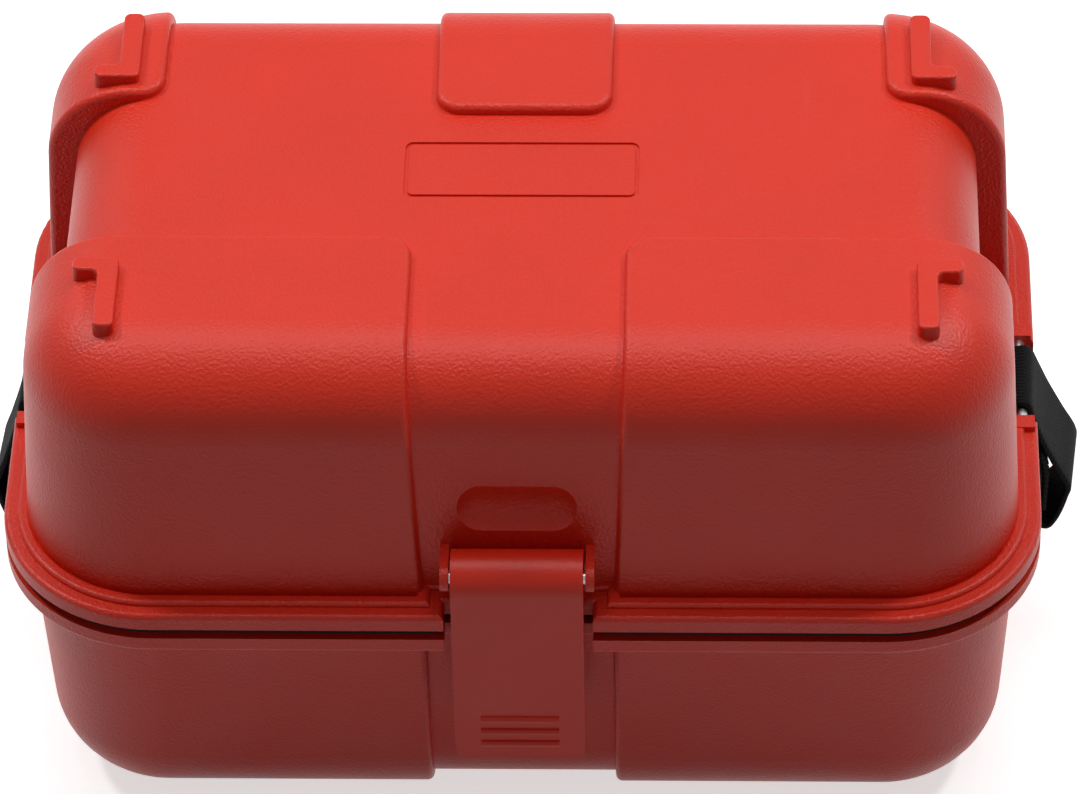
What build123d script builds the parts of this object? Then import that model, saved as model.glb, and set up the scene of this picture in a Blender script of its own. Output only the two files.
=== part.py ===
from build123d import *
import os

# Hard clamshell first aid kit: two moulded shells hinged at the back, one flip
# latch at the front, a webbing strap loop at each end, and dressings inside.
# Millimetres, +Z up, X along the long side, -Y is the latch side.
# The origin is on the underside, under the middle of the overall box.

# ---- overall sizes ----
LENGTH = 240.0          # rim to rim along X
DEPTH = 158.0           # rim to rim along Y
RIM_R = 36.0            # corner radius of the rim
BASE_H = 71.0           # feet to the parting plane
LID_H = 70.5            # parting plane to the lid pads
GAP = 2.8               # open joint between the two rims
WALL = 2.5              # shell thickness
DRAFT = 3.0             # degrees

# ---- shells ----
RIM_W = 6.5             # how far the rim stands out from the pads, front and back
RIM_END_W = 5.0         # the same at the two ends
RIM_T = 4.3             # rim thickness
PAD_STEP = 2.4          # pads stand this far out of the core, front and top
SIDE_STEP = 7.0         # the same at the two ends
LID_ROUND = 21.0        # rounding along the top edge of the lid
BASE_ROUND = 20.5       # rounding along the bottom edge of the base
CHANNEL_W = 43.0        # front channel at the parting plane
CHANNEL_TOP = 49.0      # front channel at the lid top
FRONT_PAD_Y = -20.5     # back edge of the front corner pads
BACK_PAD_Y = 28.0       # front edge of the back corner pads
BACK_PAD_X = 84.0       # inner edge of the back corner pads
MID_PAD_W = 41.0        # back centre pad
MID_PAD_Y = 23.0        # its front edge
PAD_CORNER = 6.0        # plan corners of the pads
PAD_EDGE = 1.6          # rounding of their edges
RIM_ROUND = 1.2
BEAD_H = 1.3            # bead along the rim
BEAD_ROUND = 0.9
BEAD_W = 3.0
BEAD_IN = 3.2           # bead inset from the rim edge

# ---- seal ----
SEAL_IN = 2.0           # set back from the rim edge
SEAL_W = 3.0
SEAL_DEPTH = 1.2        # depth of its groove in the base rim

# ---- rear hinges ----
PIN_R = 1.5
PIN_FIT = 0.05          # radial running clearance
KNUCKLE_R = 4.0
HINGE_X = 55.0
HINGE_W = 30.0
KNUCKLE_W = 15.4        # lid knuckle between the two base knuckles
KNUCKLE_GAP = 0.3
RIM_SEAT = 1.5          # hinge webs reach this far into the rim
HINGE_Y = DEPTH / 2 + KNUCKLE_R + 0.3

# ---- front latch ----
LATCH_W = 30.0
LATCH_R = 6.5           # barrel
LATCH_T = 4.0           # plate thickness
LATCH_DROP = 36.5       # plate below the parting plane
LATCH_Z = 16.5          # pin above the parting plane
LATCH_GAP = 0.6         # barrel to the lid wall
EAR_T = 2.0
EAR_R = 3.2
NOTCH_W = 34.0          # rim notch at the latch
NOTCH_FLOOR = 5.5       # notch depth into the rim
LIP_OUT = 3.0           # catch lip beyond the notch floor
NOSE_GAP = 0.3
SCOOP_R = 11.0
SCOOP_W = 32.0
SCOOP_END = 8.0         # rounding at both ends of the scoop
SCOOP_DEPTH = 2.6

# ---- end straps ----
STRAP_NOTCH = 27.0      # rim notch at each end
STRAP_FLOOR = 9.0
STRAP_W = 20.0
STRAP_T = 1.5
BAR_R = 1.5
BAR_IN = 3.7            # bar axis in from the rim edge
BAR_UP = 4.4            # bar axis above the parting plane
EAR_UP = 7.2            # top of the bar ears
STRAP_BULGE = {-1: 9.0, 1: 12.3}    # inner face of each loop beyond its bar
STRAP_DROP = 37.9       # inner face of the loop bottom below the bar
STRAP_CLEAR = 0.6       # hanging strand to the rim

# ---- stacking lugs and label recess ----
LUG_X = 92.2
LUG_T = 4.8
LUG_UP = 2.5
LUG_ARM = 8.2
LUG_ROUND = 1.6
LUG_EDGE = 0.7
LUG_Y0 = 31.0
LUG_Y1 = 53.5
LABEL_W = 54.0
LABEL_D = 19.0
LABEL_Y = 4.0

PZ = BASE_H             # height of the parting plane
HALF = GAP / 2
PAD_W = LENGTH - 2 * RIM_END_W
PAD_D = DEPTH - 2 * RIM_W
PAD_R = RIM_R - RIM_END_W
CORE_W = PAD_W - 2 * SIDE_STEP
CORE_D = PAD_D - 2 * PAD_STEP
CORE_R = PAD_R - 4
LATCH_Y = -(CORE_D / 2 + LATCH_R + LATCH_GAP) + 0.7
BAR_X = LENGTH / 2 - BAR_IN
FLOOR_Z = PAD_STEP + WALL   # inside floor of the base

DASH_R = 0.9            # grip ribs on the latch
# the latch and the hinges reach out unequally, so the whole case is moved along Y
# to put the middle of its overall box over the origin
SHIFT_Y = -((HINGE_Y + KNUCKLE_R) + (LATCH_Y - LATCH_R + 0.1 - DASH_R)) / 2

os.makedirs("parts", exist_ok=True)


def save(shape, path):
    export_step(Pos(0, SHIFT_Y, 0) * shape, path)


def tub(w, d, r, h, rounding):
    """Drafted rounded block standing on z = 0, rounded along its far edge."""
    body = extrude(RectangleRounded(w, d, r), h, taper=DRAFT)
    return fillet(body.faces().sort_by(Axis.Z)[-1].edges(), rounding)


def notches(grow):
    """Plan of the rim notches for latch and straps, grown by a margin."""
    w = NOTCH_W + 2 * grow
    d = 2 * (NOTCH_FLOOR + grow)
    plan = Pos(0, -DEPTH / 2) * Rectangle(w, d)
    for s in (-1, 1):
        plan += Pos(s * LENGTH / 2, 0) * Rectangle(
            2 * (STRAP_FLOOR + grow), STRAP_NOTCH + 2 * grow)
    return plan


def rim_plan(inset):
    """Rim outline set in by a distance, with its notches."""
    plan = RectangleRounded(LENGTH - 2 * inset, DEPTH - 2 * inset, RIM_R - inset)
    return plan - notches(inset)


def rim_ring(inset, width):
    return rim_plan(inset) - rim_plan(inset + width)


def box(x0, x1, y0, y1, z0, z1):
    """Box between two corners."""
    return Pos((x0 + x1) / 2, (y0 + y1) / 2, (z0 + z1) / 2) * Box(
        x1 - x0, y1 - y0, z1 - z0)


def rod(r, x0, x1, y, z):
    """Cylinder along X."""
    return Pos((x0 + x1) / 2, y, z) * Rot(0, 90, 0) * Cylinder(r, x1 - x0)


def rod_y(r, y0, y1, x, z):
    """Cylinder along Y."""
    return Pos(x, (y0 + y1) / 2, z) * Rot(90, 0, 0) * Cylinder(r, y1 - y0)


def round_corner(cell, x, y):
    """Round the upright edge of a cell nearest to a plan position."""
    edge = min(cell.edges(), key=lambda e: ((e @ 0.5) - Vector(x, y, (e @ 0.5).Z)).length
               + (0 if (e.bounding_box().size.Z > 20) else 1000))
    return fillet(edge, PAD_CORNER)


def pad_cells(h, top_w):
    """Blocks that pick the raised pads out of the outer tub."""
    a = CHANNEL_W / 2
    b = top_w / 2
    far = LENGTH
    cells = []
    for s in (-1, 1):
        side = Plane.XZ * Polygon((s * a, 0), (s * far, 0), (s * far, h + 5),
                                  (s * b, h + 5), align=None)
        front = extrude(side, DEPTH, both=True)
        front = front & box(-far, far, -DEPTH, FRONT_PAD_Y, 0, h + 5)
        cells.append(round_corner(front, s * (a + b) / 2, FRONT_PAD_Y))
        x0, x1 = sorted((s * BACK_PAD_X, s * far))
        back = box(x0, x1, BACK_PAD_Y, DEPTH, 0, h + 5)
        cells.append(round_corner(back, s * BACK_PAD_X, BACK_PAD_Y))
    mid = box(-MID_PAD_W / 2, MID_PAD_W / 2, MID_PAD_Y, DEPTH, 0, h + 5)
    mid = fillet(mid.edges().filter_by(Axis.Z).group_by(Axis.Y)[0], PAD_CORNER)
    cells.append(mid)
    return cells


def touches(point, body):
    return any(face.distance_to(point) < 0.01 for face in body.faces())


def soften(pad, outer, cell):
    """Round the edge where the cut walls of a pad meet its outer surface."""
    rims = []
    for edge in pad.edges():
        mid = Vertex(*(edge @ 0.5))
        if mid.Z > 1 and touches(mid, outer) and touches(mid, cell):
            rims.append(edge)
    return fillet(rims, PAD_EDGE)


def shell(h, rounding, top_w):
    """One half of the case, opening at z = 0 and closed at z = h."""
    outer = tub(PAD_W, PAD_D, PAD_R, h, rounding)
    body = tub(CORE_W, CORE_D, CORE_R, h - PAD_STEP, rounding - 2)
    for cell in pad_cells(h, top_w):
        body += soften(outer & cell, outer, cell)
    rim = extrude(rim_plan(0), RIM_T + HALF)
    rim = fillet(rim.faces().sort_by(Axis.Z)[-1].edges(), RIM_ROUND)
    body += rim
    bead = extrude(rim_ring(BEAD_IN, BEAD_W), RIM_T + HALF + BEAD_H)
    bead = fillet(bead.faces().sort_by(Axis.Z)[-1].edges(), BEAD_ROUND)
    body += bead
    inside = tub(CORE_W - 2 * WALL, CORE_D - 2 * WALL, CORE_R - WALL,
                 h - PAD_STEP - WALL, rounding - 4)
    body -= inside
    body -= Pos(0, 0, HALF / 2) * Box(2 * LENGTH, 2 * DEPTH, HALF)
    return body


def hinge_knuckle(x0, x1, up):
    """Knuckle round the hinge axis with a web to the rim above or below."""
    body = rod(KNUCKLE_R, x0, x1, HINGE_Y, PZ)
    z0, z1 = sorted((PZ + up * HALF, PZ + up * (HALF + RIM_T)))
    body += box(x0, x1, DEPTH / 2 - RIM_SEAT, HINGE_Y, z0, z1)
    body -= rod(PIN_R + (PIN_FIT if up > 0 else 0), x0 - 1, x1 + 1, HINGE_Y, PZ)
    return body


# ---------------------------------------------------------------- base shell
base = Pos(0, 0, PZ) * mirror(shell(BASE_H, BASE_ROUND, CHANNEL_W), Plane.XY)
lip_y = -(DEPTH / 2 - NOTCH_FLOOR + LIP_OUT)
base += box(-13, 13, lip_y, -CORE_D / 2, PZ - HALF - RIM_T, PZ - HALF)
groove = extrude(rim_ring(SEAL_IN, SEAL_W), SEAL_DEPTH)
base -= Pos(0, 0, PZ - HALF - SEAL_DEPTH) * groove
end_w = (HINGE_W - KNUCKLE_W) / 2 - KNUCKLE_GAP
for s in (-1, 1):
    for t in (-1, 1):
        mid = s * HINGE_X + t * (HINGE_W - end_w) / 2
        base += hinge_knuckle(mid - end_w / 2, mid + end_w / 2, -1)
save(base, "parts/base_shell.step")

# ----------------------------------------------------------------- rim seal
seal = Pos(0, 0, PZ - HALF - SEAL_DEPTH) * extrude(
    rim_ring(SEAL_IN, SEAL_W), SEAL_DEPTH + GAP)
save(seal, "parts/rim_seal.step")

# ------------------------------------------------------------------ lid shell
lid = Pos(0, 0, PZ) * shell(LID_H, LID_ROUND, CHANNEL_TOP)
for s in (-1, 1):
    x = s * HINGE_X
    lid += hinge_knuckle(x - KNUCKLE_W / 2, x + KNUCKLE_W / 2, 1)
    # ears either side of the latch barrel
    x0, x1 = sorted((s * (LATCH_W / 2 + 0.5), s * (LATCH_W / 2 + 0.5 + EAR_T)))
    ear = rod(EAR_R, x0, x1, LATCH_Y, PZ + LATCH_Z)
    ear += box(x0, x1, LATCH_Y, -CORE_D / 2 + 2, PZ + LATCH_Z - EAR_R,
               PZ + LATCH_Z + EAR_R)
    lid += ear
    # ears either side of the strap, carrying its bar
    for t in (-1, 1):
        y0, y1 = sorted((t * STRAP_NOTCH / 2, t * (STRAP_NOTCH / 2 + 4)))
        x0, x1 = sorted((s * (BAR_X - 3), s * (BAR_X + 3)))
        lid += box(x0, x1, y0, y1, PZ + HALF, PZ + EAR_UP)
    lid -= rod_y(BAR_R, -STRAP_NOTCH / 2 - 3, STRAP_NOTCH / 2 + 3, s * BAR_X,
                 PZ + BAR_UP)
    # L-shaped stacking lugs
    for t in (-1, 1):
        x0, x1 = sorted((s * (LUG_X - LUG_T / 2), s * (LUG_X + LUG_T / 2)))
        y0, y1 = sorted((t * LUG_Y0, t * LUG_Y1))
        top = PZ + LID_H + LUG_UP
        lug = box(x0, x1, y0, y1, top - 12, top)
        x0, x1 = sorted((s * LUG_X, s * (LUG_X + LUG_ARM)))
        y0, y1 = sorted((t * LUG_Y0, t * (LUG_Y0 + LUG_T - 0.6)))
        lug += box(x0, x1, y0, y1, top - 12, top)
        lug = fillet(lug.edges().filter_by(Axis.Z), LUG_ROUND)
        lug = fillet(lug.faces().sort_by(Axis.Z)[-1].edges(), LUG_EDGE)
        lid += lug
lid -= rod(PIN_R, -(LATCH_W / 2 + EAR_T), LATCH_W / 2 + EAR_T, LATCH_Y, PZ + LATCH_Z)
# finger scoop above the latch, with its own wall behind it
scoop_z = PZ + LATCH_Z + LATCH_R + 8
scoop_y = -(CORE_D / 2) - SCOOP_R + SCOOP_DEPTH + 1.3
lid += box(-SCOOP_W / 2, SCOOP_W / 2, -CORE_D / 2 + 2.3,
           -CORE_D / 2 + SCOOP_DEPTH + WALL + 1.5, scoop_z - SCOOP_R, scoop_z + 8)
scoop = rod(SCOOP_R, -SCOOP_W / 2, SCOOP_W / 2, scoop_y, scoop_z)
lid -= fillet(scoop.edges().filter_by(GeomType.CIRCLE), SCOOP_END)
# shallow bare label recess in the top
lid -= Pos(0, LABEL_Y, PZ + LID_H - PAD_STEP) * extrude(
    RectangleRounded(LABEL_W, LABEL_D, 2) - RectangleRounded(
        LABEL_W - 2, LABEL_D - 2, 1.2), 0.5, both=True)
save(lid, "parts/lid_shell.step")

# --------------------------------------------------------------------- pins
for s, side in ((-1, "left"), (1, "right")):
    pin = rod(PIN_R, s * HINGE_X - HINGE_W / 2, s * HINGE_X + HINGE_W / 2, HINGE_Y, PZ)
    save(pin, "parts/hinge_pin_" + side + ".step")
    bar = rod_y(BAR_R, -STRAP_NOTCH / 2 - 3, STRAP_NOTCH / 2 + 3, s * BAR_X,
                PZ + BAR_UP)
    save(bar, "parts/strap_bar_" + side + ".step")
latch_pin = rod(PIN_R, -(LATCH_W / 2 + EAR_T), LATCH_W / 2 + EAR_T, LATCH_Y,
                PZ + LATCH_Z)
save(latch_pin, "parts/latch_pin.step")

# -------------------------------------------------------------------- latch
lx = LATCH_W / 2
latch = rod(LATCH_R, -lx, lx, LATCH_Y, PZ + LATCH_Z)
front = LATCH_Y - LATCH_R
plate = box(-lx, lx, front, front + LATCH_T, PZ - LATCH_DROP, PZ + LATCH_Z)
plate = fillet(plate.edges().filter_by(Axis.Y).group_by(Axis.Z)[0], 3)
latch += plate
nose_tip = lip_y - NOSE_GAP
latch += box(-11, 11, front + 1, nose_tip, PZ - HALF - RIM_T, PZ - HALF)
for i in range(3):
    latch += rod(DASH_R, -9, 9, front + 0.1, PZ - LATCH_DROP + 5 + 4 * i)
latch -= rod(PIN_R + PIN_FIT, -lx - 1, lx + 1, LATCH_Y, PZ + LATCH_Z)
save(latch, "parts/latch.step")


# ------------------------------------------------------------------- straps
def strap(s):
    """Sewn webbing loop hanging from its bar, clear of the rim below it."""
    r = BAR_R + 0.3
    b = STRAP_BULGE[s]
    d = STRAP_DROP
    near = BAR_IN + STRAP_CLEAR + STRAP_T   # face of the hanging strand
    pts = [(0, r), (r * 0.83, r * 0.67), (b * 0.24, -d * 0.08), (b * 0.44, -d * 0.26),
           (b * 0.74, -d * 0.48), (b, -d * 0.66), (b * 0.95, -d * 0.77),
           (b * 0.84, -d * 0.89), (b * 0.72, -d * 0.965), ((b * 0.72 + near) / 2, -d),
           (near * 1.02, -d * 0.95), (near, -d * 0.8), (near, -d * 0.52),
           (near * 0.62, -d * 0.32), (near * 0.1, -d * 0.16), (-r * 0.9, -r), (-r, 0),
           (-r * 0.67, r * 0.77)]
    flat = [(s * x + s * BAR_X, z + PZ + BAR_UP) for x, z in pts]
    hole = Polygon(*flat, align=None)
    outer = offset(hole, STRAP_T)
    return extrude(Plane.XZ * (outer - hole), STRAP_W / 2, both=True)


for s, side in ((-1, "left"), (1, "right")):
    save(strap(s), "parts/strap_" + side + ".step")


# ----------------------------------------------------------------- contents
def roll(r, h, x, y):
    body = Pos(x, y, FLOOR_Z + h / 2) * Cylinder(r, h)
    return chamfer(body.edges(), 1.2)


def pack(w, d, h, x, y, z=FLOOR_Z, soft=1.5):
    body = Pos(x, y, z + h / 2) * Box(w, d, h)
    return fillet(body.edges().filter_by(Axis.Z), soft)


for i, (r, h, x, y) in enumerate(((22, 56, -63, 26.5), (22, 56, -17, 26.5),
                                  (17, 46, 24, 32), (17, 46, 61, 32))):
    save(roll(r, h, x, y), "parts/bandage_roll_%d.step" % (i + 1))
save(pack(80, 22, 50, -43, -35, soft=0.8), "parts/plaster_box.step")
save(pack(80, 18, 46, -43, -13, soft=3), "parts/foil_blanket.step")
save(pack(76, 40, 12, 42, -26, soft=4), "parts/wound_dressing_1.step")
save(pack(76, 40, 12, 42, -26, FLOOR_Z + 12, soft=4), "parts/wound_dressing_2.step")
save(pack(70, 38, 9, 42, -26, FLOOR_Z + 24, soft=5), "parts/glove_pack.step")
tape_z = FLOOR_Z + 33
tape = Pos(24, -26, tape_z + 9) * (Cylinder(19, 18) - Cylinder(12, 18))
core = Pos(24, -26, tape_z + 9) * (Cylinder(12, 18) - Cylinder(10.5, 18))
save(tape, "parts/tape_roll.step")
save(core, "parts/tape_core.step")
arm = box(46, 49, -44, -10, tape_z, tape_z + 1.6)
other = box(53, 56, -44, -10, tape_z, tape_z + 1.6)
tweezers = arm + other + box(46, 56, -13, -6, tape_z, tape_z + 1.6)
save(tweezers, "parts/tweezers.step")
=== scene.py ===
"""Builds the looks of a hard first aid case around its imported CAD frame."""
import math
import random

import bmesh
import bpy
import numpy as np
from bpy.props import FloatProperty, FloatVectorProperty, IntProperty, PointerProperty
from bpy.types import Operator, Panel, PropertyGroup
from mathutils import Matrix, Vector


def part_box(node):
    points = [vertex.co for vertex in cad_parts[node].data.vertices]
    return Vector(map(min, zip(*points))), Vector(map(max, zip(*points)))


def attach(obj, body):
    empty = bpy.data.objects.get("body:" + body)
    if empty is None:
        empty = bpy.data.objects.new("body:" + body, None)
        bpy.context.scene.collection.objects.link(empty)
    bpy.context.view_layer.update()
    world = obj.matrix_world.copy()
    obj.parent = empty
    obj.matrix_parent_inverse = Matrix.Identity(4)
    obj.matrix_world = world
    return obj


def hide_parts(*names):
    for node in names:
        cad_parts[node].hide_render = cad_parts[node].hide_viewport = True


bl_info = {
    "name": "First aid case",
    "version": (1, 0, 0),
    "blender": (4, 5, 0),
    "location": "3D View > Sidebar > First aid case",
    "description": "Finishes, webbing loops, dressings and studio for a clamshell case",
    "category": "Object",
}

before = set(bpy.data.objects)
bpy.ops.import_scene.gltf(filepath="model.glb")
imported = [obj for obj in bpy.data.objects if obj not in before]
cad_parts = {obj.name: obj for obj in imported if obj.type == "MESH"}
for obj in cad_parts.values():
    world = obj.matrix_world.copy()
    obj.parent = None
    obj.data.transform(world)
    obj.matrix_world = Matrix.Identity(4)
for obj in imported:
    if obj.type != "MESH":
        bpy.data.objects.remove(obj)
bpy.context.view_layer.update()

MM = 0.001
SEAM_HALF_GAP = 1.4 * MM      # half of the open joint between the rims
SENSOR_WIDTH = 36.0
BAR_CLEARANCE = 0.3 * MM      # bar to the inside of the webbing
STRAND_REACH = 5.8 * MM       # bar to the strand that hangs by the rim
LAP_START, LAP_END = 0.60, 0.72     # sewn lap, as shares of the loop
THREAD_RADIUS = 0.22 * MM
STITCHES_PER_LINE = 9
ROLL_STEPS = 44               # steps in one turn of a bandage
ROLL_CORE = 3.0 * MM
AIM_RIGHT, AIM_DOWN = 2.98 * MM, 0.445 * MM
FLOOR_REACH = 6.0


def seam_centre():
    """Middle of the case on the plane where the two halves meet."""
    low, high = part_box("rim_seal")
    mid = (low + high) / 2
    return Vector((mid.x, mid.y, high.z - SEAM_HALF_GAP))


# ------------------------------------------------------------------ settings
def colour(label, text, value):
    return FloatVectorProperty(name=label, description=text, default=value,
                               subtype="COLOR", size=3, min=0, max=1)


class CaseFinish(PropertyGroup):
    """Colours and surface of the moulded pieces."""
    shell: colour("Shell", "Colour of both shells", (0.69, 0.025, 0.006))
    latch: colour("Latch", "Colour of the latch", (0.69, 0.024, 0.006))
    seal: colour("Seal", "Colour of the rim seal", (0.012, 0.011, 0.012))
    steel: colour("Steel", "Colour of pins, bars and tweezers", (0.62, 0.62, 0.63))
    roughness: FloatProperty(name="Roughness", description="Gloss of the shells",
                             default=0.40, min=0, max=1)
    grain: FloatProperty(name="Grain", description="Height of the moulded grain",
                         default=0.00015, unit="LENGTH", precision=6)


class StrapSizes(PropertyGroup):
    """Sizes of the webbing loops."""
    width: FloatProperty(name="Width", description="Webbing width", default=0.020,
                         unit="LENGTH")
    thickness: FloatProperty(name="Thickness", description="Webbing thickness",
                             default=0.0015, unit="LENGTH", precision=4)
    drop: FloatProperty(name="Drop", description="Bar to the inside of the turn",
                        default=0.0379, unit="LENGTH", precision=4)
    bulge_left: FloatProperty(name="Left bulge", description="Reach beyond the bar",
                              default=0.0090, unit="LENGTH", precision=4)
    bulge_right: FloatProperty(name="Right bulge", description="Reach beyond the bar",
                               default=0.0123, unit="LENGTH", precision=4)
    webbing: colour("Webbing", "Colour of the webbing", (0.0014, 0.0014, 0.0016))
    thread: colour("Thread", "Colour of the stitching", (0.009, 0.009, 0.010))


class DressingLooks(PropertyGroup):
    """Colours of what the case holds."""
    gauze: colour("Gauze", "Colour of the bandage rolls", (0.84, 0.81, 0.74))
    wrap: colour("Wrap", "Colour of the dressing wraps", (0.80, 0.83, 0.85))
    band: colour("Band", "Colour of the band on the wraps", (0.12, 0.36, 0.30))
    glove: colour("Gloves", "Colour of the glove pouch", (0.09, 0.27, 0.52))
    foil: colour("Foil", "Colour of the foil blanket", (0.78, 0.76, 0.70))
    card: colour("Card", "Colour of the plaster carton", (0.80, 0.74, 0.62))
    tape: colour("Tape", "Colour of the tape", (0.86, 0.84, 0.80))
    turns: IntProperty(name="Turns", description="Turns in a bandage roll", default=13,
                       min=3, max=40)


class StudioSettings(PropertyGroup):
    """Camera and lamps."""
    azimuth: FloatProperty(name="Azimuth", description="Camera to the right of the latch",
                           default=math.radians(2.32), subtype="ANGLE")
    elevation: FloatProperty(name="Elevation", description="Camera above the seam",
                             default=math.radians(44.0), subtype="ANGLE")
    roll: FloatProperty(name="Roll", description="Camera roll",
                        default=math.radians(1.39), subtype="ANGLE")
    distance: FloatProperty(name="Distance", description="Camera to the case",
                            default=1.49141, unit="LENGTH")
    lens: FloatProperty(name="Lens", description="Focal length in millimetres",
                        default=210.155)
    key: FloatProperty(name="Key", description="Power of the overhead lamp", default=8.7)
    side: FloatProperty(name="Side", description="Power of each side lamp", default=6.8)
    world: FloatProperty(name="World", description="Strength of the room light",
                         default=0.125)


def settings(context):
    scene = context.scene
    return scene.case_finish, scene.strap_sizes, scene.dressing_looks, scene.studio


# ----------------------------------------------------------------- materials
class Nodes:
    """Small helper that adds and links shader nodes."""

    def __init__(self, name):
        self.material = bpy.data.materials.new(name)
        self.material.use_nodes = True
        self.tree = self.material.node_tree
        self.shader = self.tree.nodes["Principled BSDF"]
        self.coords = self.add("ShaderNodeTexCoord").outputs["Object"]

    def add(self, kind, **values):
        node = self.tree.nodes.new(kind)
        for key, value in values.items():
            if hasattr(node, key):
                setattr(node, key, value)
            else:
                node.inputs[key.replace("_", " ")].default_value = value
        return node

    def link(self, source, target):
        self.tree.links.new(source, target)

    def stretched(self, scale):
        node = self.add("ShaderNodeMapping")
        node.inputs["Scale"].default_value = scale
        self.link(self.coords, node.inputs["Vector"])
        return node.outputs["Vector"]

    def noise(self, scale, detail=2.0, vector=None):
        node = self.add("ShaderNodeTexNoise", Scale=scale, Detail=detail)
        self.link(vector or self.coords, node.inputs["Vector"])
        return node.outputs["Fac"]

    def spread(self, value, low, high, start=0.0, end=1.0):
        node = self.add("ShaderNodeMapRange")
        for key, number in (("From Min", start), ("From Max", end), ("To Min", low),
                            ("To Max", high)):
            node.inputs[key].default_value = number
        self.link(value, node.inputs["Value"])
        return node.outputs["Result"]

    def maths(self, operation, first, second):
        node = self.add("ShaderNodeMath", operation=operation)
        for slot, value in zip(node.inputs, (first, second)):
            if isinstance(value, (int, float)):
                slot.default_value = value
            else:
                self.link(value, slot)
        return node.outputs["Value"]

    def mix(self, fac, first, second):
        node = self.add("ShaderNodeMix", data_type="RGBA")
        self.link(fac, node.inputs["Factor"])
        for slot, value in zip(("A", "B"), (first, second)):
            sockets = [s for s in node.inputs if s.name == slot and s.type == "RGBA"]
            if isinstance(value, bpy.types.NodeSocket):
                self.link(value, sockets[0])
            else:
                sockets[0].default_value = (*value, 1)
        return [s for s in node.outputs if s.type == "RGBA"][0]

    def bump(self, height, distance, strength=1.0, under=None):
        node = self.add("ShaderNodeBump")
        node.inputs["Distance"].default_value = distance
        node.inputs["Strength"].default_value = strength
        self.link(height, node.inputs["Height"])
        if under is not None:
            self.link(under, node.inputs["Normal"])
        return node.outputs["Normal"]

    def finish(self, base, roughness, normal, **constants):
        self.link(base, self.shader.inputs["Base Color"])
        self.link(roughness, self.shader.inputs["Roughness"])
        self.link(normal, self.shader.inputs["Normal"])
        for key, value in constants.items():
            self.shader.inputs[key.replace("_", " ")].default_value = value
        return self.material


def tint(base, share):
    return tuple(min(1.0, c * share) for c in base)


def moulded_plastic(name, base, roughness, grain):
    """Grained moulding with slight mottling, handling marks and dull patches."""
    n = Nodes(name)
    fine = n.noise(1500, 3)
    pits = n.add("ShaderNodeTexVoronoi", Scale=1250.0)
    n.link(n.coords, pits.inputs["Vector"])
    height = n.maths("ADD", fine, n.maths("MULTIPLY", pits.outputs["Distance"], 0.5))
    normal = n.bump(height, grain, 1.0)
    flow = n.bump(n.noise(22, 2), 0.0012, 0.12, normal)
    mottle = n.mix(n.spread(n.noise(38, 4), 0, 1, 0.3, 0.7), tint(base, 0.965),
                   tint(base, 1.02))
    rubs = n.noise(260, 5, n.stretched((1, 0.08, 0.6)))
    scuff = n.spread(rubs, 0, 0.03, 0.68, 0.82)
    pale = tuple(c + 0.35 * (1 - c) for c in base)
    shade = n.mix(scuff, mottle, pale)
    rough = n.maths("ADD", n.spread(n.noise(55, 3), roughness - 0.05, roughness + 0.06),
                    n.spread(fine, -0.05, 0.05))
    return n.finish(shade, rough, flow, Specular_IOR_Level=0.36)


def rubber(name, base):
    n = Nodes(name)
    shade = n.mix(n.noise(160, 4), tint(base, 0.7), tint(base, 1.5))
    return n.finish(shade, n.spread(n.noise(300, 3), 0.6, 0.8),
                    n.bump(n.noise(900, 3), 0.00006), Specular_IOR_Level=0.3)


def brushed_steel(name, base):
    n = Nodes(name)
    lines = n.noise(900, 4, n.stretched((0.03, 1, 1)))
    shade = n.mix(lines, tint(base, 0.85), tint(base, 1.08))
    return n.finish(shade, n.spread(lines, 0.22, 0.4), n.bump(lines, 0.00003),
                    Metallic=1.0)


def woven_webbing(name, base):
    """Ribbed weave that follows the strap's own length and width, with painted highlight
    on its ridges and painted shade in its dips.
    """
    n = Nodes(name)
    uv = n.add("ShaderNodeUVMap", uv_map="strap").outputs["UV"]
    split = n.add("ShaderNodeSeparateXYZ")
    n.link(uv, split.inputs[0])
    across = n.maths("SINE", n.maths("MULTIPLY", split.outputs["X"], 6.2832 / 0.0011), 0)
    along = n.maths("SINE", n.maths("MULTIPLY", split.outputs["Y"], 6.2832 / 0.0016), 0)
    weave = n.maths("MULTIPLY", across, along)
    height = n.maths("ADD", n.maths("MULTIPLY", weave, 0.5),
                     n.maths("MULTIPLY", across, 0.35))
    fuzz = n.noise(2600, 2)
    normal = n.bump(n.maths("ADD", height, fuzz), 0.00018)
    # Colour lighter on the weave's raised ridges and darker in its dips: painted highlight
    # and painted shade on the weave relief.
    shade = n.mix(n.spread(height, 0, 1, -0.7, 0.7), tint(base, 0.6), tint(base, 2.6))
    return n.finish(shade, n.spread(fuzz, 0.62, 0.82), normal, Specular_IOR_Level=0.10)


def crepe_gauze(name, base):
    n = Nodes(name)
    fine = n.noise(1800, 2, n.stretched((1, 1, 0.25)))
    ribs = n.noise(520, 3, n.stretched((1, 1, 0.12)))
    height = n.maths("ADD", fine, ribs)
    shade = n.mix(n.spread(height, 0, 1, 0.7, 1.3), tint(base, 0.84), tint(base, 1.06))
    return n.finish(shade, n.spread(fine, 0.8, 0.95), n.bump(height, 0.0003),
                    Sheen_Weight=0.2)


def printed_wrap(name, base, band, place, half_width, axis="X", gloss=0.38):
    """Thin wrap with one plain band across it and soft creases."""
    n = Nodes(name)
    split = n.add("ShaderNodeSeparateXYZ")
    n.link(n.coords, split.inputs[0])
    away = n.maths("ABSOLUTE", n.maths("SUBTRACT", split.outputs[axis], place), 0)
    inside = n.maths("LESS_THAN", away, half_width)
    creases = n.noise(90, 5)
    paper = n.mix(n.noise(240, 3), tint(base, 0.94), tint(base, 1.04))
    return n.finish(n.mix(inside, paper, band), n.spread(creases, gloss, gloss + 0.15),
                    n.bump(creases, 0.0008, 0.5, n.bump(n.noise(1400, 2), 0.00004)))


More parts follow.
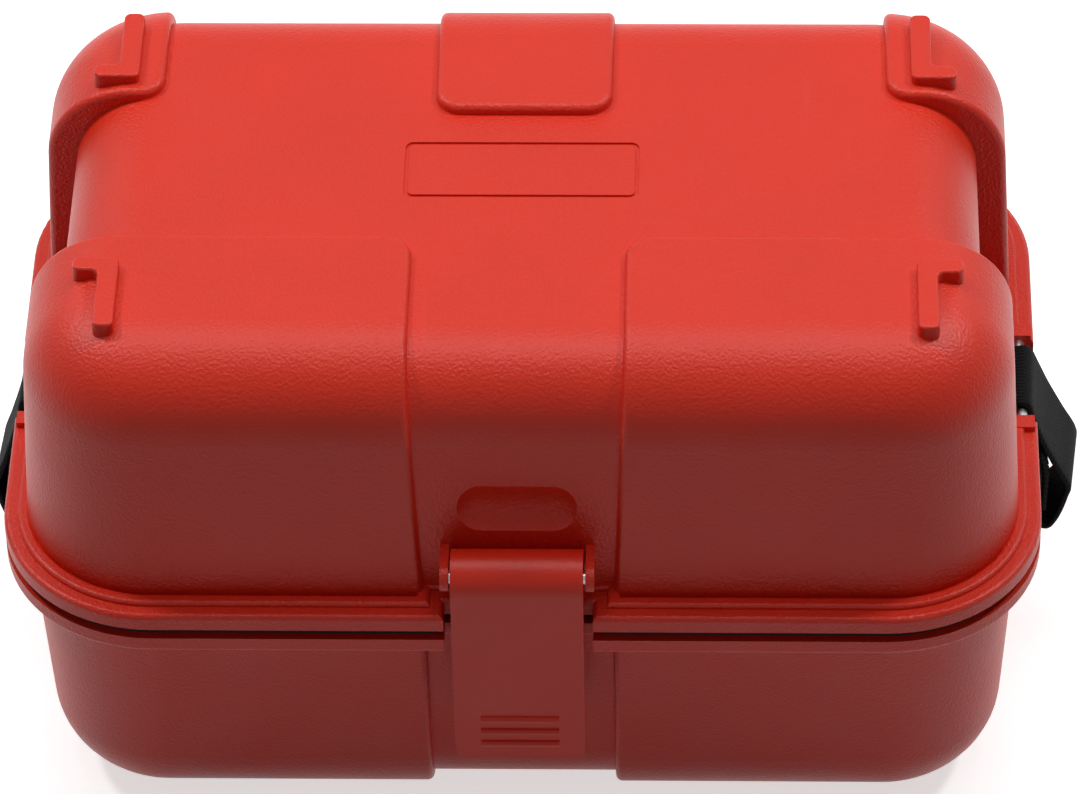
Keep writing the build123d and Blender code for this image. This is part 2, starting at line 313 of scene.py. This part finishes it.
def crinkled_foil(name, base):
    n = Nodes(name)
    cells = n.add("ShaderNodeTexVoronoi", Scale=170.0, feature="DISTANCE_TO_EDGE")
    n.link(n.coords, cells.inputs["Vector"])
    folds = n.maths("ADD", cells.outputs["Distance"], n.noise(210, 5))
    shade = n.mix(n.noise(60, 3), tint(base, 0.9), tint(base, 1.05))
    return n.finish(shade, n.spread(n.noise(300, 2), 0.16, 0.32), n.bump(folds, 0.0012),
                    Metallic=1.0)


def tape_cloth(name, base):
    n = Nodes(name)
    rings = n.noise(1500, 2, n.stretched((1, 1, 0.02)))
    shade = n.mix(rings, tint(base, 0.86), tint(base, 1.04))
    return n.finish(shade, n.spread(rings, 0.6, 0.8), n.bump(rings, 0.00012))


def plain_card(name, base):
    n = Nodes(name)
    fibres = n.noise(700, 5, n.stretched((1, 0.3, 1)))
    shade = n.mix(fibres, tint(base, 0.82), tint(base, 1.1))
    return n.finish(shade, n.spread(fibres, 0.75, 0.9), n.bump(fibres, 0.00006))


def coat(node_names, material):
    for name in node_names:
        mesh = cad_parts[name].data
        mesh.materials.clear()
        mesh.materials.append(material)


# ------------------------------------------------------------------ geometry
def new_piece(name, verts, faces, material, body, stands_for=(), smooth=True):
    """Adds a mesh piece that rides on a CAD body."""
    mesh = bpy.data.meshes.new(name)
    mesh.from_pydata([tuple(v) for v in verts], [], faces)
    mesh.validate()
    bm = bmesh.new()
    bm.from_mesh(mesh)
    bmesh.ops.recalc_face_normals(bm, faces=bm.faces)
    bm.to_mesh(mesh)
    bm.free()
    mesh.materials.append(material)
    if smooth:
        mesh.shade_smooth()
    piece = bpy.data.objects.new(name, mesh)
    bpy.context.scene.collection.objects.link(piece)
    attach(piece, body)
    if stands_for:
        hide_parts(*stands_for)
    return piece


def closed_spline(points, per_span):
    """Smooth closed line through the points."""
    pts = np.array(points, float)
    out = []
    for i in range(len(pts)):
        p0, p1, p2, p3 = (pts[(i + k) % len(pts)] for k in (-1, 0, 1, 2))
        for t in np.linspace(0, 1, per_span, endpoint=False):
            out.append(0.5 * (2 * p1 + (p2 - p0) * t
                              + (2 * p0 - 5 * p1 + 4 * p2 - p3) * t * t
                              + (3 * p1 - p0 - 3 * p2 + p3) * t ** 3))
    return np.array(out)


def band_section(width, thickness, steps=5):
    """Flat strap section with rounded selvedges: (across, out) pairs."""
    r = thickness / 2
    ring = []
    for side in (1, -1):
        for k in range(steps + 1):
            a = math.pi / 2 - math.pi * k / steps
            ring.append((side * (width / 2 - r + r * math.cos(a)), side * r * math.sin(a)))
        for k in range(1, 8):
            x = (width / 2 - r) * (1 - 2 * k / 8)
            ring.append((side * x, -side * r))
    return ring


def strap_band(name, path, normals, width, thickness, sway, closed, material, body,
               stands_for=()):
    """Sweeps the strap section along a path in XZ; sway gives (shift, twist)."""
    ring = band_section(width, thickness)
    count = len(path)
    verts, faces, uvs = [], [], []
    length = [0.0]
    for i in range(1, count + 1):
        length.append(length[-1] + float(np.linalg.norm(path[i % count] - path[i - 1])))
    for i, (point, normal) in enumerate(zip(path, normals)):
        shift, twist = sway(i / count)
        for across, out in ring:
            lift = out + across * math.sin(twist)
            verts.append((point[0] + normal[0] * lift, point[1] + shift
                          + across * math.cos(twist), point[2] + normal[2] * lift))
    m = len(ring)
    for i in range(count if closed else count - 1):
        for k in range(m):
            a, b = i * m + k, i * m + (k + 1) % m
            c, d = ((i + 1) % count) * m + (k + 1) % m, ((i + 1) % count) * m + k
            faces.append((a, b, c, d))
            u0, u1 = ring[k][0], ring[(k + 1) % m][0]
            v0, v1 = length[i], length[i + 1]
            uvs.append(((u0, v0), (u1, v0), (u1, v1), (u0, v1)))
    if not closed:
        faces += [tuple(range(m)), tuple(range((count - 1) * m, count * m))]
        uvs += [((0, 0),) * m] * 2
    piece = new_piece(name, verts, faces, material, body, stands_for)
    layer = piece.data.uv_layers.new(name="strap")
    lookup = {frozenset(f): dict(zip(f, uv)) for f, uv in zip(faces, uvs)}
    for poly in piece.data.polygons:
        known = lookup[frozenset(poly.vertices)]
        for loop, vertex in zip(poly.loop_indices, poly.vertices):
            layer.data[loop].uv = known[vertex]
    return piece


def capsules(name, ends, radius, material, body, sides=8):
    """Many short rounded threads, each from one end to the other, in one mesh."""
    verts, faces = [], []
    for start, end in ends:
        start, end = Vector(start), Vector(end)
        along = (end - start).normalized()
        side = along.orthogonal().normalized()
        up = along.cross(side)
        rings = ((start - along * radius * 0.6, 0.35), (start, 1.0),
                 ((start + end) / 2, 1.15), (end, 1.0), (end + along * radius * 0.6, 0.35))
        base = len(verts)
        for centre, share in rings:
            for k in range(sides):
                a = 2 * math.pi * k / sides
                verts.append(centre + (side * math.cos(a) + up * math.sin(a))
                             * radius * share)
        for j in range(len(rings) - 1):
            for k in range(sides):
                a, b = base + j * sides + k, base + j * sides + (k + 1) % sides
                faces.append((a, b, b + sides, a + sides))
        faces.append(tuple(base + k for k in range(sides)))
        last = base + (len(rings) - 1) * sides
        faces.append(tuple(last + k for k in range(sides)))
    return new_piece(name, verts, faces, material, body, ())


def spiral_roll(name, node, turns, material, seed):
    """Bandage wound on itself, with every turn of cloth modelled."""
    low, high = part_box(node)
    centre = (low + high) / 2
    outer = (high.x - low.x) / 2
    rng = random.Random(seed)
    steps = ROLL_STEPS
    start = ROLL_CORE
    pitch = (outer - start) / turns
    thick = pitch * 0.80
    total = turns * steps
    verts, faces = [], []
    wobble = [rng.uniform(-0.0003, 0.0003) for _ in range(turns + 1)]
    for i in range(total + 1):
        angle = 2 * math.pi * i / steps
        r = start + pitch * i / steps
        turn = min(turns, i // steps)
        blend = (i % steps) / steps
        top = wobble[turn] * (1 - blend) + wobble[min(turns, turn + 1)] * blend
        top += 0.00012 * math.sin(angle * 9 + seed)
        lo = low.z + 0.0003
        hi = high.z - 0.0006 + top
        for radius, z in ((r - thick, lo), (r - thick, hi - 0.0005), (r - thick / 2, hi),
                          (r, hi - 0.0005), (r, (lo + hi) / 2), (r, lo)):
            verts.append((centre.x + radius * math.cos(angle),
                          centre.y + radius * math.sin(angle), z))
    m = 6
    for i in range(total):
        for k in range(m):
            a, b = i * m + k, i * m + (k + 1) % m
            faces.append((a, b, b + m, a + m))
    faces += [tuple(range(m)), tuple(range(total * m, (total + 1) * m))]
    return new_piece(name, verts, faces, material, "base", (node,))


def pouch(name, node, material, crimp=0.006, seed=1, puff=3.0):
    """Flat sealed pouch: crowned middle, thin crimped ends, soft creases."""
    low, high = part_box(node)
    mid = (low + high) / 2
    half = (high - low) / 2
    rng = random.Random(seed)
    phase = [rng.uniform(0, 6.28) for _ in range(6)]
    nu, nv = 46, 26
    verts, faces = [], []

    def height(u, v):
        edge = 1 - abs(u)
        seal = crimp / half.x
        if edge < seal:
            return 0.05 + 0.02 * math.sin(edge / seal * 25)
        s = (edge - seal) / (1 - seal)
        body = (1 - (1 - min(1, s * 2.2)) ** puff) * (1 - abs(v) ** (puff * 2)) ** 0.5
        ripple = 0.05 * math.sin(u * 11 + phase[0]) * math.sin(v * 5 + phase[1])
        ripple += 0.035 * math.sin(u * 23 + v * 9 + phase[2])
        return 0.05 + (0.86 + ripple) * body

    for side in (1, -1):
        for i in range(nu + 1):
            u = -1 + 2 * i / nu
            for j in range(nv + 1):
                v = -1 + 2 * j / nv
                h = height(u, v) * half.z
                if side < 0:
                    h = min(h, half.z * (0.98 if abs(u) < 0.9 else 0.5))
                waist = 1 - 0.02 * math.cos(u * 3 + phase[3])
                verts.append((mid.x + u * half.x * 0.995,
                              mid.y + v * half.y * waist, mid.z + side * h))
    row = nv + 1
    block = (nu + 1) * row
    for s in (0, 1):
        for i in range(nu):
            for j in range(nv):
                a = s * block + i * row + j
                faces.append((a, a + 1, a + row + 1, a + row))
    for i in range(nu):
        for j in (0, nv):
            a = i * row + j
            faces.append((a, a + row, a + row + block, a + block))
    for j in range(nv):
        for i in (0, nu):
            a = i * row + j
            faces.append((a, a + 1, a + 1 + block, a + block))
    piece = new_piece(name, verts, faces, material, "base", (node,))
    return piece


def crumpled_block(name, node, material, depth, seed, rough_scale):
    """Tightly folded sheet pack with layered folded edges."""
    low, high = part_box(node)
    mid = (low + high) / 2
    half = (high - low) / 2
    bm = bmesh.new()
    bmesh.ops.create_cube(bm, size=2.0)
    bmesh.ops.subdivide_edges(bm, edges=bm.edges[:], cuts=17, use_grid_fill=True)
    rng = random.Random(seed)
    waves = [(rng.uniform(2, rough_scale), rng.uniform(2, rough_scale),
              rng.uniform(2, rough_scale), rng.uniform(0, 6.28)) for _ in range(7)]
    for v in bm.verts:
        p = v.co.copy()
        bend = sum(math.sin(a * p.x + b * p.y + c * p.z + d) for a, b, c, d in waves) / 7
        fold = 0.5 + 0.5 * math.sin(p.z * 19 + 1.3 * math.sin(p.x * 3))
        corner = max(abs(p.x), abs(p.y), abs(p.z))
        size = (abs(p.x) ** 8 + abs(p.y) ** 8 + abs(p.z) ** 8) ** (1 / 8)
        p *= corner / size
        inward = depth * (0.35 + 0.35 * bend + 0.3 * fold)
        v.co = Vector((mid.x + p.x * (half.x - inward), mid.y + p.y * (half.y - inward),
                       mid.z + p.z * (half.z - inward * 0.5)))
    verts = [v.co.copy() for v in bm.verts]
    faces = [tuple(v.index for v in f.verts) for f in bm.faces]
    bm.free()
    return new_piece(name, verts, faces, material, "base", (node,))


def carton(name, node, material):
    """Card box with bevelled folds and a tucked flap."""
    low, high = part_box(node)
    inset = 0.0002
    bm = bmesh.new()
    bmesh.ops.create_cube(bm, size=1.0)
    size = high - low - Vector((inset, inset, 0.0008))
    mid = (high + low) / 2 - Vector((0, 0, 0.0004))
    for v in bm.verts:
        v.co = Vector((v.co.x * size.x, v.co.y * size.y, v.co.z * size.z)) + mid
    bmesh.ops.bevel(bm, geom=bm.edges[:], offset=0.0006, segments=3, affect="EDGES")
    verts = [v.co.copy() for v in bm.verts]
    faces = [tuple(v.index for v in f.verts) for f in bm.faces]
    bm.free()
    top = high.z - 0.0008
    flap = [(low.x + 0.002, low.y + 0.001), (high.x - 0.002, low.y + 0.001),
            (high.x - 0.002, high.y - 0.003), (high.x - 0.005, high.y - 0.0012),
            (low.x + 0.005, high.y - 0.0012), (low.x + 0.002, high.y - 0.003)]
    base = len(verts)
    for z in (top - 0.0002, top + 0.0004):
        verts += [Vector((x, y, z)) for x, y in flap]
    n = len(flap)
    faces += [tuple(base + k for k in range(n)), tuple(base + n + k for k in range(n))]
    faces += [(base + k, base + (k + 1) % n, base + n + (k + 1) % n, base + n + k)
              for k in range(n)]
    return new_piece(name, verts, faces, material, "base", (node,), smooth=False)


# ----------------------------------------------------------------- operators
class CASE_OT_shells(Operator):
    """Finish the two shells and the rim seal"""
    bl_idname = "case.shells"
    bl_label = "Finish shells"

    def execute(self, context):
        look = settings(context)[0]
        shell = moulded_plastic("Moulded red shell", look.shell, look.roughness,
                                look.grain)
        coat(("base_shell", "lid_shell"), shell)
        coat(("rim_seal",), rubber("Seal rubber", look.seal))
        return {"FINISHED"}


class CASE_OT_hardware(Operator):
    """Finish the latch, pins, bars and tweezers"""
    bl_idname = "case.hardware"
    bl_label = "Finish hardware"

    def execute(self, context):
        look = settings(context)[0]
        coat(("latch",), moulded_plastic("Moulded red latch", look.latch, 0.40,
                                         look.grain * 0.35))
        steel = brushed_steel("Brushed pin steel", look.steel)
        coat(("hinge_pin_left", "hinge_pin_right", "latch_pin", "strap_bar_left",
              "strap_bar_right", "tweezers"), steel)
        return {"FINISHED"}


class CASE_OT_straps(Operator):
    """Build the two webbing loops with their sewn laps"""
    bl_idname = "case.straps"
    bl_label = "Build straps"

    def execute(self, context):
        size = settings(context)[1]
        cloth = woven_webbing("Black webbing", size.webbing)
        thread = rubber("Stitching thread", size.thread)
        for side, name, bulge in ((-1, "left", size.bulge_left),
                                  (1, "right", size.bulge_right)):
            self.loop(side, name, bulge, size, cloth, thread)
        return {"FINISHED"}

    def loop(self, side, name, bulge, size, cloth, thread):
        low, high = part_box("strap_bar_" + name)
        bar = (low + high) / 2
        r = (high.x - low.x) / 2 + BAR_CLEARANCE
        near = STRAND_REACH
        d = size.drop
        b = bulge
        shape = [(0, r), (r * 0.83, r * 0.67), (b * 0.24, -d * 0.08),
                 (b * 0.44, -d * 0.26), (b * 0.74, -d * 0.48), (b, -d * 0.66),
                 (b * 0.95, -d * 0.77), (b * 0.84, -d * 0.89), (b * 0.72, -d * 0.965),
                 ((b * 0.72 + near) / 2, -d), (near * 1.02, -d * 0.95),
                 (near, -d * 0.8), (near, -d * 0.52), (near * 0.62, -d * 0.32),
                 (near * 0.1, -d * 0.16), (-r * 0.9, -r), (-r, 0), (-r * 0.67, r * 0.77)]
        inner = closed_spline([(side * x, 0, z) for x, z in shape], 7)
        ahead = np.roll(inner, -1, 0) - np.roll(inner, 1, 0)
        ahead /= np.linalg.norm(ahead, axis=1)[:, None]
        normals = np.stack([-ahead[:, 2], ahead[:, 1], ahead[:, 0]], 1) * side
        middle = inner + normals * size.thickness / 2
        path = middle + np.array([bar.x, bar.y, bar.z])
        lean = 0.9 if side > 0 else -0.5

        def sway(t):
            wave = math.sin(math.pi * min(1, t / 0.55)) if t < 0.55 else 0.0
            return lean * MM * wave * 0.8, math.radians(7) * wave * lean

        strap_band("strap_loop_" + name, path, normals, size.width, size.thickness,
                   sway, True, cloth, "strap_" + name, ("strap_" + name,))
        self.lap(side, name, path, normals, size, cloth, thread)

    def lap(self, side, name, path, normals, size, cloth, thread):
        """Second layer of webbing sewn to the hanging strand with a boxed cross."""
        count = len(path)
        first, last = int(count * LAP_START), int(count * LAP_END)
        inside = -normals
        layer = path[first:last] + inside[first:last] * size.thickness * 0.98
        strap_band("strap_lap_" + name, layer, normals[first:last], size.width * 0.985,
                   size.thickness * 0.9, lambda t: (0.0, 0.0), False, cloth,
                   "strap_" + name, ())
        face = layer + inside[first:last] * size.thickness * 0.47
        half = size.width * 0.36

        def spot(t, y):
            k = t * (len(face) - 1)
            i = min(int(k), len(face) - 2)
            p = face[i] + (face[i + 1] - face[i]) * (k - i)
            return (p[0], p[1] + y, p[2])

        lines = [((0.1, -half), (0.1, half)), ((0.9, -half), (0.9, half)),
                 ((0.1, -half), (0.9, -half)), ((0.1, half), (0.9, half)),
                 ((0.1, -half), (0.9, half)), ((0.1, half), (0.9, -half))]
        ends = []
        for (t0, y0), (t1, y1) in lines:
            parts = STITCHES_PER_LINE
            for k in range(parts):
                a, c = (k + 0.12) / parts, (k + 0.82) / parts
                ends.append((spot(t0 + (t1 - t0) * a, y0 + (y1 - y0) * a),
                             spot(t0 + (t1 - t0) * c, y0 + (y1 - y0) * c)))
        capsules("strap_stitches_" + name, ends, THREAD_RADIUS, thread, "strap_" + name,
                 6)


class CASE_OT_bandages(Operator):
    """Build the wound bandage rolls and finish the tape"""
    bl_idname = "case.bandages"
    bl_label = "Build bandages"

    def execute(self, context):
        look = settings(context)[2]
        gauze = crepe_gauze("Crepe gauze", look.gauze)
        for number in range(1, 5):
            turns = look.turns if number < 3 else look.turns - 3
            spiral_roll("bandage_cloth_%d" % number, "bandage_roll_%d" % number, turns,
                        gauze, number)
        coat(("tape_roll",), tape_cloth("Cloth tape", look.tape))
        coat(("tape_core",), plain_card("Core card", tint(look.card, 0.6)))
        return {"FINISHED"}


class CASE_OT_packs(Operator):
    """Build the dressings, gloves, foil blanket and plaster carton"""
    bl_idname = "case.packs"
    bl_label = "Build packs"

    def execute(self, context):
        look = settings(context)[2]
        middle = (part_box("wound_dressing_1")[0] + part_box("wound_dressing_1")[1]) / 2
        wrap = printed_wrap("Dressing wrap", look.wrap, look.band, middle.x, 0.009)
        for number in (1, 2):
            pouch("dressing_pouch_%d" % number, "wound_dressing_%d" % number, wrap,
                  seed=number)
        glove = printed_wrap("Glove pouch film", look.glove, tint(look.glove, 1.9),
                             middle.x + 0.024, 0.005, gloss=0.3)
        pouch("glove_pouch", "glove_pack", glove, 0.004, 7)
        crumpled_block("foil_sheet", "foil_blanket",
                       crinkled_foil("Crinkled foil", look.foil),
                       0.0011, 5, 12)
        low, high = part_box("plaster_box")
        card = printed_wrap("Plaster carton card", look.card, look.band,
                            (low.z + high.z) / 2 + 0.012, 0.006, "Z", 0.55)
        carton("plaster_carton", "plaster_box", card)
        return {"FINISHED"}


class CASE_OT_stage(Operator):
    """Add the floor, lamps, room light and camera"""
    bl_idname = "case.stage"
    bl_label = "Build stage"

    def execute(self, context):
        studio = settings(context)[3]
        scene = context.scene
        self.floor(scene)
        self.room(scene, studio)
        self.lamps(scene, studio)
        self.camera(scene, studio)
        scene.view_settings.view_transform = "Standard"
        return {"FINISHED"}

    def floor(self, scene):
        """Floor that looks white and throws back less light than it shows."""
        n = Nodes("Studio floor")
        tree = n.tree
        tree.nodes.remove(n.shader)
        seen = self.seen(n)
        near = n.add("ShaderNodeBsdfDiffuse")
        near.inputs["Color"].default_value = (0.30, 0.30, 0.30, 1)
        pale = n.add("ShaderNodeBsdfDiffuse")
        pale.inputs["Color"].default_value = (0.86, 0.86, 0.86, 1)
        lift = n.add("ShaderNodeEmission")
        lift.inputs["Strength"].default_value = 0.62
        both = n.add("ShaderNodeAddShader")
        choose = n.add("ShaderNodeMixShader")
        n.link(pale.outputs[0], both.inputs[0])
        n.link(lift.outputs[0], both.inputs[1])
        n.link(seen, choose.inputs[0])
        n.link(near.outputs[0], choose.inputs[1])
        n.link(both.outputs[0], choose.inputs[2])
        n.link(choose.outputs[0], tree.nodes["Material Output"].inputs["Surface"])
        mesh = bpy.data.meshes.new("studio_floor")
        reach = FLOOR_REACH
        mesh.from_pydata([(-reach, -reach, 0), (reach, -reach, 0), (reach, reach, 0),
                          (-reach, reach, 0)], [], [(0, 1, 2, 3)])
        mesh.materials.append(n.material)
        floor = bpy.data.objects.new("studio_floor", mesh)
        scene.collection.objects.link(floor)

    def seen(self, n):
        """One where a ray comes from the eye, a mirror or through glass."""
        path = n.add("ShaderNodeLightPath")
        both = n.maths("MAXIMUM", path.outputs["Is Camera Ray"],
                       path.outputs["Is Glossy Ray"])
        return n.maths("MAXIMUM", both, path.outputs["Is Transmission Ray"])

    def room(self, scene, studio):
        world = bpy.data.worlds.new("Studio room")
        world.use_nodes = True
        scene.world = world
        tree = world.node_tree
        back = tree.nodes["Background"]
        path = tree.nodes.new("ShaderNodeLightPath")
        top = tree.nodes.new("ShaderNodeMath")
        top.operation = "MAXIMUM"
        every = tree.nodes.new("ShaderNodeMath")
        every.operation = "MAXIMUM"
        strength = tree.nodes.new("ShaderNodeMapRange")
        tree.links.new(path.outputs["Is Camera Ray"], top.inputs[0])
        tree.links.new(path.outputs["Is Transmission Ray"], top.inputs[1])
        tree.links.new(top.outputs[0], every.inputs[0])
        tree.links.new(path.outputs["Is Glossy Ray"], every.inputs[1])
        tree.links.new(every.outputs[0], strength.inputs["Value"])
        strength.inputs["To Min"].default_value = studio.world
        strength.inputs["To Max"].default_value = 1.0
        tree.links.new(strength.outputs["Result"], back.inputs["Strength"])
        back.inputs["Color"].default_value = (1, 1, 1, 1)

    def lamps(self, scene, studio):
        centre = seam_centre()
        for name, place, size, power in (
                ("key_lamp", (0.0, 0.22, 1.45), (1.1, 0.7), studio.key),
                ("left_lamp", (-0.88, 0.40, 1.15), (0.2, 0.2), studio.side),
                ("right_lamp", (0.88, 0.40, 1.15), (0.2, 0.2), studio.side)):
            data = bpy.data.lights.new(name, "AREA")
            data.shape = "RECTANGLE"
            data.size, data.size_y = size
            data.energy = power
            lamp = bpy.data.objects.new(name, data)
            lamp.location = centre + Vector(place)
            lamp.rotation_euler = (-Vector(place)).to_track_quat("-Z", "Y").to_euler()
            scene.collection.objects.link(lamp)

    def camera(self, scene, studio):
        e, a, roll = studio.elevation, studio.azimuth, studio.roll
        back = Vector((math.sin(a) * math.cos(e), -math.cos(a) * math.cos(e), math.sin(e)))
        level = Vector((math.cos(a), math.sin(a), 0))
        upright = back.cross(level)
        right = level * math.cos(roll) - upright * math.sin(roll)
        up = level * math.sin(roll) + upright * math.cos(roll)
        aim = seam_centre() + right * AIM_RIGHT - up * AIM_DOWN
        turn = Matrix((right, up, back)).transposed().to_4x4()
        data = bpy.data.cameras.new("studio_camera")
        data.sensor_width = SENSOR_WIDTH
        data.lens = studio.lens
        data.clip_start, data.clip_end = 0.01, 50
        eye = bpy.data.objects.new("studio_camera", data)
        eye.matrix_world = Matrix.Translation(aim + back * studio.distance) @ turn
        scene.collection.objects.link(eye)
        scene.camera = eye


class CASE_PT_sidebar(Panel):
    """Lists the steps that build the case's looks"""
    bl_label = "First aid case"
    bl_idname = "CASE_PT_sidebar"
    bl_space_type = "VIEW_3D"
    bl_region_type = "UI"
    bl_category = "First aid case"

    def draw(self, context):
        column = self.layout.column()
        for step in STEPS:
            column.operator(step.bl_idname)
        for group in settings(context):
            for key in group.__annotations__:
                column.prop(group, key)


GROUPS = (("case_finish", CaseFinish), ("strap_sizes", StrapSizes),
          ("dressing_looks", DressingLooks), ("studio", StudioSettings))
STEPS = (CASE_OT_shells, CASE_OT_hardware, CASE_OT_straps, CASE_OT_bandages,
         CASE_OT_packs, CASE_OT_stage)


def register():
    for name, group in GROUPS:
        bpy.utils.register_class(group)
        setattr(bpy.types.Scene, name, PointerProperty(type=group))
    for step in STEPS:
        bpy.utils.register_class(step)
    bpy.utils.register_class(CASE_PT_sidebar)


def unregister():
    bpy.utils.unregister_class(CASE_PT_sidebar)
    for step in reversed(STEPS):
        bpy.utils.unregister_class(step)
    for name, group in reversed(GROUPS):
        delattr(bpy.types.Scene, name)
        bpy.utils.unregister_class(group)


def main():
    register()
    bpy.ops.case.shells()
    bpy.ops.case.hardware()
    bpy.ops.case.straps()
    bpy.ops.case.bandages()
    bpy.ops.case.packs()
    bpy.ops.case.stage()


if __name__ == "__main__":
    main()
